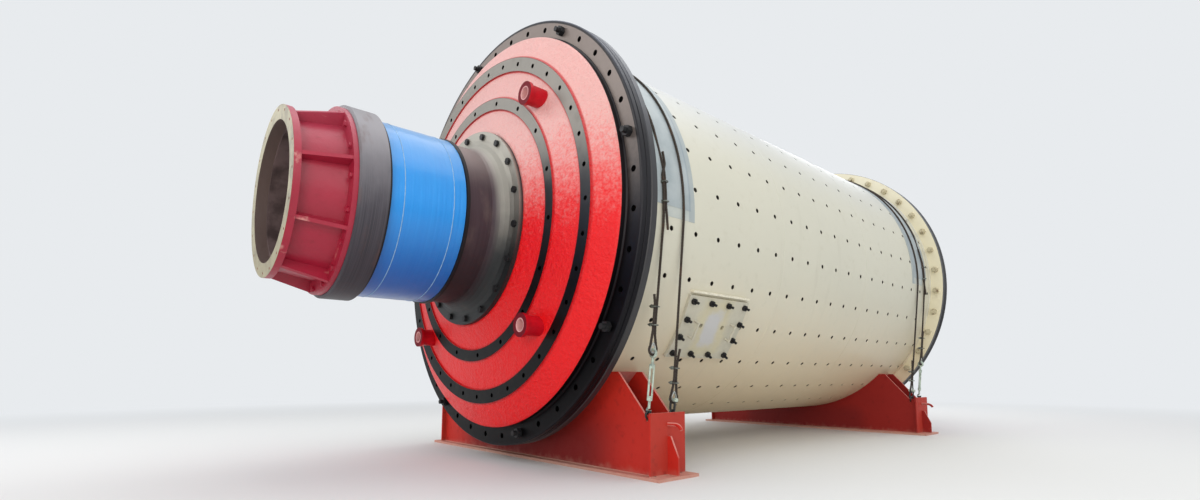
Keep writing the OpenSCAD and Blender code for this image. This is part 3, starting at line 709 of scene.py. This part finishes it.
# film round the journals
def journal_film(side, name, material, line_material):
    """Film in one wrinkled sleeve, with two thin tape edges round it."""
    free()
    length = film_high.x - film_low.x
    steps = 30
    bpy.ops.mesh.primitive_circle_add(vertices=220, radius=film_radius - 0.0012,
                                      location=(side * film_low.x, 0, axis_z), rotation=(0, math.pi / 2, 0))
    piece = bpy.context.object
    settle(piece)
    bpy.ops.object.mode_set(mode="EDIT")
    bpy.ops.mesh.select_all(action="SELECT")
    for _ in range(steps):
        bpy.ops.mesh.extrude_edges_move(TRANSFORM_OT_translate={"value": (side * length / steps, 0, 0)})
    outward(piece)
    crease = bpy.data.textures.new(name + "_creases", "CLOUDS")
    crease.noise_scale = 0.09
    ripple = piece.modifiers.new("ripple", "DISPLACE")
    ripple.texture = crease
    ripple.texture_coords = "LOCAL"
    ripple.strength = 0.003
    ripple.mid_level = 0.5
    skin = piece.modifiers.new("skin", "SOLIDIFY")
    skin.thickness = 0.0012
    skin.offset = 0.0
    apply_modifiers(piece)
    finish_piece(piece, name, material, 60)
    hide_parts("journal_wrap_" + ("right" if side > 0 else "left"))
    inset = 0.085
    lines = []
    for x in (film_low.x + inset, film_high.x - inset):
        tape = round_ring(side * x, film_radius + 0.0004, thick=0.0055, tall=0.0012, steps=160, sides=8)
        lines.append(tape)
    finish_piece(joined(lines), name + "_tape", line_material)


# pads under the ropes
def sheet_over_drum(low_x, high_x, radius, drop, name, material, crease_size):
    """A sheet laid over the top of the drum, reaching drop below the axis on both sides."""
    free()
    below = math.asin(drop / radius)
    edge = Vector(((low_x + high_x) / 2, -radius * math.cos(below), axis_z - radius * math.sin(below)))
    strip = 0.01
    bpy.ops.mesh.primitive_grid_add(x_subdivisions=18, y_subdivisions=1, size=1.0, location=edge)
    piece = bpy.context.object
    piece.scale = (high_x - low_x, strip, 1.0)
    settle(piece)
    pick(piece, lambda place: place.y > edge.y)
    bpy.ops.mesh.delete(type="VERT")
    bpy.ops.mesh.select_all(action="SELECT")
    bpy.ops.transform.translate(value=(0, strip / 2, 0))
    bpy.ops.mesh.spin(steps=200, angle=math.pi + 2 * below, center=(0, 0, axis_z), axis=(1, 0, 0))
    outward(piece)
    crease = bpy.data.textures.new(name + "_creases", "CLOUDS")
    crease.noise_scale = crease_size
    ripple = piece.modifiers.new("ripple", "DISPLACE")
    ripple.texture = crease
    ripple.texture_coords = "LOCAL"
    ripple.strength = 0.004
    ripple.mid_level = 0.5
    skin = piece.modifiers.new("skin", "SOLIDIFY")
    skin.thickness = 0.0016
    skin.offset = 0.0
    apply_modifiers(piece)
    finish_piece(piece, name, material, 60)
    return piece


def pads(top, lower):
    """A pad under each pair of ropes, and under it a narrower lining that reaches lower."""
    for side, place in ((-1, "left"), (1, "right")):
        start, stop = sorted((side * pad_low.x, side * pad_high.x))
        drop = axis_z - pad_low.z
        pad = sheet_over_drum(start, stop, shell_radius + 0.003, drop, "pad_sheet_" + place, top, 0.18)
        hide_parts("pad_" + place)
        start, stop = sorted((side * (pad_low.x - 0.045), side * (pad_high.x - 0.12)))
        sheet_over_drum(start, stop, shell_radius + 0.0012, 0.085, "pad_lining_" + place, lower, 0.20)


# wire ropes, with the same sizes as the lashings of the part
rope_radius = 0.009
rope_line = shell_radius + pad_thickness + rope_radius
rope_offset = 0.098
eye_radius = 0.034
long_eye = 0.430
short_eye = 0.111
lap = 0.019
foot_past_slope = 0.016


def lash_frame(middle, offset, side):
    """Foot on the shelf, direction up the rope, direction aside, free length, and turn at the drum."""
    foot_x = math.copysign(plate_x, offset)
    foot_y = end_high.y - cradle_plate - shelf_length + foot_past_slope
    foot_drop = axis_z - shelf_top
    reach = math.hypot(foot_y, foot_drop)
    turn = math.acos(rope_line / reach) - math.atan2(foot_drop, foot_y)
    foot = Vector((middle + foot_x, side * foot_y, axis_z - foot_drop))
    leave_y = side * rope_line * math.cos(turn)
    leave = Vector((middle + offset, leave_y, axis_z + rope_line * math.sin(turn)))
    along = (leave - foot).normalized()
    aside = (Vector((1, 0, 0)) - along * along.x).normalized()
    return foot, along, aside, (leave - foot).length, turn


def end_path(middle, offset, side, tight):
    """Points of one rope end: the tail, round the eye, up to the drum. A tight end has the turnbuckle."""
    foot, along, aside, length, _ = lash_frame(middle, offset, side)
    sign = math.copysign(1, offset) * -side
    eye = long_eye if tight else short_eye

    def at(across, up):
        return foot + along * (eye + up) + aside * sign * across

    tail = [(0.032, 0.36), (0.0195, 0.30)] if tight else [(0.040, 0.33), (0.027, 0.27), (0.019, 0.21)]
    points = [at(*place) for place in tail + [(0.019, 0.16), (0.019, 0.12)]]
    for degrees in range(40, -221, -20):
        a = math.radians(degrees)
        points.append(at(0.006 + eye_radius * math.cos(a), eye_radius * math.sin(a)))
    points += [at(-0.004, 0.09), at(0.0, 0.14), at(0.0, 0.25)]
    points += [at(0.0, (length - eye) / 2), at(0.0, length - eye)]
    return points


def on_drum(x, turn, clear=1.0):
    """A point of a rope on the drum, at a turn in radians up from the near side."""
    return Vector((x, -rope_line * clear * math.cos(turn), axis_z + rope_line * math.sin(turn)))


def over_drum(x, start, stop):
    """Points over the drum from turn start to stop."""
    steps = max(2, round(abs(stop - start) / 0.05))
    return [on_drum(x, start + (stop - start) * k / steps) for k in range(steps + 1)]


def strand_unit():
    """A sixth of a lay of six strands, which repeats along the rope."""
    lay = 0.120
    steps = 2
    strand_circle = 0.0056
    rings = []
    for k in range(6):
        free()
        a = k * math.pi / 3
        place = (0, strand_circle * math.cos(a), strand_circle * math.sin(a))
        bpy.ops.mesh.primitive_circle_add(vertices=6, radius=0.0034, location=place,
                                          rotation=(0, math.pi / 2, 0))
        settle(bpy.context.object)
        rings.append(bpy.context.object)
    piece = joined(rings)
    bpy.ops.object.mode_set(mode="EDIT")
    bpy.ops.mesh.select_all(action="SELECT")
    for _ in range(steps):
        bpy.ops.mesh.extrude_edges_move(TRANSFORM_OT_translate={"value": (lay / 6 / steps, 0, 0)})
        bpy.ops.transform.rotate(value=math.pi / 3 / steps, orient_axis="X", orient_type="GLOBAL",
                                 center_override=(0, 0, 0))
    outward(piece)
    return piece


def curve_of(points, name):
    data = bpy.data.curves.new(name, "CURVE")
    data.dimensions = "3D"
    data.twist_mode = "MINIMUM"
    line = data.splines.new("POLY")
    line.points.add(len(points) - 1)
    for knot, place in zip(line.points, points):
        knot.co = (*place, 1.0)
    curve = bpy.data.objects.new(name, data)
    bpy.context.scene.collection.objects.link(curve)
    return curve


def wire_rope(unit, points, name, material):
    """Copies of the unit, laid along a line of points."""
    curve = curve_of(points, name + "_line")
    piece = unit.copy()
    piece.data = unit.data.copy()
    bpy.context.scene.collection.objects.link(piece)
    row = piece.modifiers.new("row", "ARRAY")
    row.fit_type = "FIT_CURVE"
    row.curve = curve
    row.use_merge_vertices = True
    row.merge_threshold = 0.0003
    follow = piece.modifiers.new("follow", "CURVE")
    follow.object = curve
    follow.deform_axis = "POS_X"
    apply_modifiers(piece)
    bpy.data.objects.remove(curve)
    return finish_piece(piece, name, material, 60)


def set_at(piece, place, along, aside):
    """Turns the piece's Y up the rope and its X aside, and puts it at its place."""
    turned = Matrix((aside, along, aside.cross(along))).transposed().to_4x4()
    piece.matrix_world = Matrix.Translation(place) @ turned
    settle(piece)
    return piece


def rope_clip(middle, along, aside):
    """A forged saddle, a U bolt and its two nuts on a doubled rope."""
    leg = 0.020
    wire = 0.0042
    parts = [block((0.056, 0.024, 0.015), (0, 0, -0.016))]
    for x in (-leg, leg):
        parts.append(bar((x, 0, -0.040), (x, 0, 0.008), wire))
        parts.append(bar((x, 0, -0.032), (x, 0, -0.0235), 0.0085, 6))
    free()
    bpy.ops.mesh.primitive_torus_add(major_radius=leg, minor_radius=wire, major_segments=20,
                                     minor_segments=8, location=(0, 0, 0.006), rotation=(math.pi / 2, 0, 0))
    arch = bpy.context.object
    settle(arch)
    bpy.ops.object.mode_set(mode="EDIT")
    bpy.ops.mesh.select_all(action="SELECT")
    bpy.ops.mesh.bisect(plane_co=(0, 0, 0.006), plane_no=(0, 0, 1), clear_inner=True, use_fill=True)
    bpy.ops.object.mode_set(mode="OBJECT")
    parts.append(arch)
    return set_at(joined(parts), middle, along, aside)


def thimble(middle, along, aside):
    """The pale steel lining of the rope eye, drawn to a point where the two legs of the rope meet."""
    free()
    bpy.ops.mesh.primitive_torus_add(major_radius=eye_radius - rope_radius - 0.003, minor_radius=0.006,
                                     major_segments=36, minor_segments=8)
    piece = bpy.context.object
    for above, narrow, longer in ((0.004, 0.94, 0.004), (0.014, 0.86, 0.006), (0.026, 0.62, 0.009)):
        pick(piece, lambda place: place.y > above)
        bpy.ops.transform.resize(value=(narrow, 1, 1), center_override=(0, 0, 0))
        bpy.ops.transform.translate(value=(0, longer, 0))
    free()
    return set_at(piece, middle, along, aside)


def one_rope(unit, place, which, side, materials):
    """A rope over the drum with an eye at each end. The outer ropes have a lap on the near side."""
    rope_finish, clip_finish, thimble_finish = materials
    outer = which == "outer"
    middle = side * cradle_middle
    offset = side * rope_offset * (1 if outer else -1)
    x = middle + offset
    tight_side = -1 if outer else 1
    turn = lash_frame(middle, offset, -1)[4]
    near = end_path(middle, offset, -1, outer)
    far = end_path(middle, offset, 1, not outer)[::-1]
    name = "rope_" + place + "_" + which
    clips = []
    rings = []
    if outer:
        lap_x = x - side * lap
        lower = near + over_drum(x, turn, math.radians(7.0))[1:]
        lower += [on_drum(lap_x - side * 0.012, math.radians(degrees), 1.002) for degrees in (10.0, 13.0)]
        upper = [Vector((lap_x, -rope_line * 1.010, axis_z - 0.19))]
        upper += [Vector((lap_x, -rope_line * 1.004, axis_z - 0.08))]
        upper += over_drum(lap_x, math.radians(-1.0), math.radians(8.0))
        upper += over_drum(x, math.radians(20.0), math.pi - turn)
        upper += far[1:]
        wire_rope(unit, upper, "wire_" + name + "_upper", rope_finish)
        rope = wire_rope(unit, lower, "wire_" + name, rope_finish)
        for degrees in (0.0, 5.0):
            a = math.radians(degrees)
            up_drum = Vector((0, math.sin(a), math.cos(a)))
            clips.append(rope_clip(on_drum((x + lap_x) / 2, a), up_drum, Vector((1, 0, 0))))
    else:
        line = near + over_drum(x, turn, math.pi - turn)[1:] + far[1:]
        rope = wire_rope(unit, line, "wire_" + name, rope_finish)
    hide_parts(name)
    for y in (-1, 1):
        foot, along, aside, _, _ = lash_frame(middle, offset, y)
        lean = math.copysign(1, offset) * -y
        eye = long_eye if y == tight_side else short_eye
        for up in ((0.16, 0.28) if y == tight_side else (0.10, 0.20)):
            doubled = foot + along * (eye + up) + aside * lean * lap / 2
            clips.append(rope_clip(doubled, along, aside))
        rings.append(thimble(foot + along * eye + aside * lean * 0.006, along, aside))
    finish_piece(joined(clips), name + "_clips", clip_finish)
    finish_piece(joined(rings), name + "_thimbles", thimble_finish)


def ropes(*materials):
    """The four ropes, with materials for the wire, the clips and the thimbles."""
    unit = strand_unit()
    for side, place in ((-1, "left"), (1, "right")):
        for which in ("outer", "inner"):
            one_rope(unit, place, which, side, materials)
    bpy.data.objects.remove(unit)


# cradle welds
def cradle_welds(material):
    """Fillet beads along the feet of the side plates and up the corners."""
    base = cradle_low.z
    for side, place in ((-1, "left"), (1, "right")):
        beads = []
        for s in (-1, 1):
            x = side * cradle_middle + s * (plate_x + cradle_plate / 2)
            beads.append(weld_bead((x, -end_high.y, base), (x, end_high.y, base), 0.007))
            for y in (cradle_plate - end_high.y, end_high.y - cradle_plate):
                beads.append(weld_bead((x, y, base), (x, y, shelf_top - 0.004), 0.006))
        finish_piece(joined(beads), "cradle_welds_" + place, material)


# finishes of the part's own nodes
def dress(material, *names):
    """Gives nodes of the part their finish."""
    for name in names:
        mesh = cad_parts[name].data
        mesh.materials.clear()
        mesh.materials.append(material)


def both(*names):
    """The names of the left and right nodes."""
    return [name + end for name in names for end in ("_left", "_right")]


def dress_all():
    """Gives every node its finish. Returns the two that the welds share."""
    shell = shell_paint()
    black = bolt_black()
    crimson = sleeve_paint()
    cradle = cradle_paint()
    head = head_paint()
    dress(shell, *both("shell_course", "shell_flange"), "shell_course_middle")
    dress(plain_finish("ledge_paint", (236, 230, 208), (216, 210, 188), 0.5, 0.0), "manhole_ledge")
    dress(head, *both("head"))
    dress(lug_paint(), *both("head_lugs"))
    dress(trunnion_steel(), *both("trunnion"))
    dress(black, *both("flange_bolts", "trunnion_bolts"), "manhole_clamps")
    dress(crimson, *both("sleeve", "sleeve_bolts"))
    liner = plain_finish("liner_steel", (112, 92, 90), (70, 54, 52), 0.6, 0.2, scale=6.0, bump=0.003)
    dress(liner, *both("trunnion_liner"))
    dress(door_primer(), "manhole_door", "manhole_handles")
    for end in ("left", "right"):
        for part in ("side_plates", "saddle", "end_plates", "base", "gussets"):
            dress(cradle, "cradle_" + end + "_" + part)
    dress(lashing_zinc(), *both("turnbuckles"))
    return shell, cradle


# floor, surroundings and lamps
def make_stage():
    """Pale floor, pale surroundings and soft lamps."""
    scene = bpy.context.scene
    scene.view_settings.view_transform = "Standard"
    free()
    bpy.ops.mesh.primitive_plane_add(size=900.0, location=(0, 0, 0))
    floor = bpy.context.object
    floor.name = "floor"
    f = Finish("floor", roughness=0.9)
    f.put("Base Color", srgb(226, 225, 222))
    away = (f.x * f.x + f.y * f.y) ** 0.5
    camera_ray = Level(f, f.node("ShaderNodeLightPath").outputs["Is Camera Ray"])
    backdrop = f.node("ShaderNodeEmission", values={"Color": srgb(232, 235, 238)})
    blend = f.node("ShaderNodeMixShader", values={0: f.rise(away, 5.5, 13.0) * camera_ray})
    f.tree.links.new(f.shader.outputs[0], blend.inputs[1])
    f.tree.links.new(backdrop.outputs[0], blend.inputs[2])
    f.tree.links.new(blend.outputs[0], f.tree.nodes["Material Output"].inputs["Surface"])
    floor.data.materials.append(f.material)

    world = bpy.data.worlds.new("studio")
    scene.world = world
    world.use_nodes = True
    tree = world.node_tree
    shade = tree.nodes["Background"]
    shade.inputs["Color"].default_value = srgb(224, 229, 236)
    shade.inputs["Strength"].default_value = 0.8
    seen = tree.nodes.new("ShaderNodeBackground")
    seen.inputs["Color"].default_value = srgb(232, 235, 238)
    path = tree.nodes.new("ShaderNodeLightPath")
    most = tree.nodes.new("ShaderNodeMath")
    most.operation = "MAXIMUM"
    tree.links.new(path.outputs["Is Camera Ray"], most.inputs[0])
    tree.links.new(path.outputs["Is Glossy Ray"], most.inputs[1])
    mix = tree.nodes.new("ShaderNodeMixShader")
    tree.links.new(most.outputs[0], mix.inputs[0])
    tree.links.new(shade.outputs[0], mix.inputs[1])
    tree.links.new(seen.outputs[0], mix.inputs[2])
    tree.links.new(mix.outputs[0], tree.nodes["World Output"].inputs["Surface"])

    def lamp(name, place, target, size, power, colour=(1, 1, 1)):
        data = bpy.data.lights.new(name, "AREA")
        data.shape = "DISK"
        data.size = size
        data.energy = power
        data.color = colour
        made = bpy.data.objects.new(name, data)
        scene.collection.objects.link(made)
        made.location = place
        made.rotation_mode = "QUATERNION"
        made.rotation_quaternion = (Vector(target) - Vector(place)).to_track_quat("-Z", "Y")

    lamp("sky", (0, -1, 10), (0, 0, 1.5), 11.0, 420)
    lamp("front", (-4, -11, 6), (0, 0, 1.8), 7.0, 220)
    lamp("end", (-9, 4.5, 6.0), (-2.6, 0, 2.2), 5.0, 220)
    lamp("low_end", (-12, -7.5, 3.2), (-2.0, -0.6, 0.9), 7.0, 420, (1.0, 0.96, 0.92))
    lamp("far_end", (9, 3, 6), (2.6, 0, 1.8), 5.0, 200)


# the whole scene
make_camera()
make_stage()
shell, cradle = dress_all()
shell_welds(shell)
film = film_plastic()
tape = plain_finish("tape_edge", (150, 190, 220), (120, 170, 210), 0.4, 0.0)
journal_film(-1, "journal_film_left", film, tape)
journal_film(1, "journal_film_right", film, tape)
sheet = pad_cloth("pad_sheet", (172, 180, 180), (154, 164, 166))
lining = pad_cloth("pad_lining", (194, 197, 188), (178, 185, 180))
pads(sheet, lining)
clip_iron = plain_finish("clip_iron", (150, 156, 148), (74, 76, 72))
thimble_zinc = plain_finish("thimble_zinc", (206, 208, 204), (150, 154, 150))
ropes(rope_steel(), clip_iron, thimble_zinc)
cradle_welds(cradle)

free()
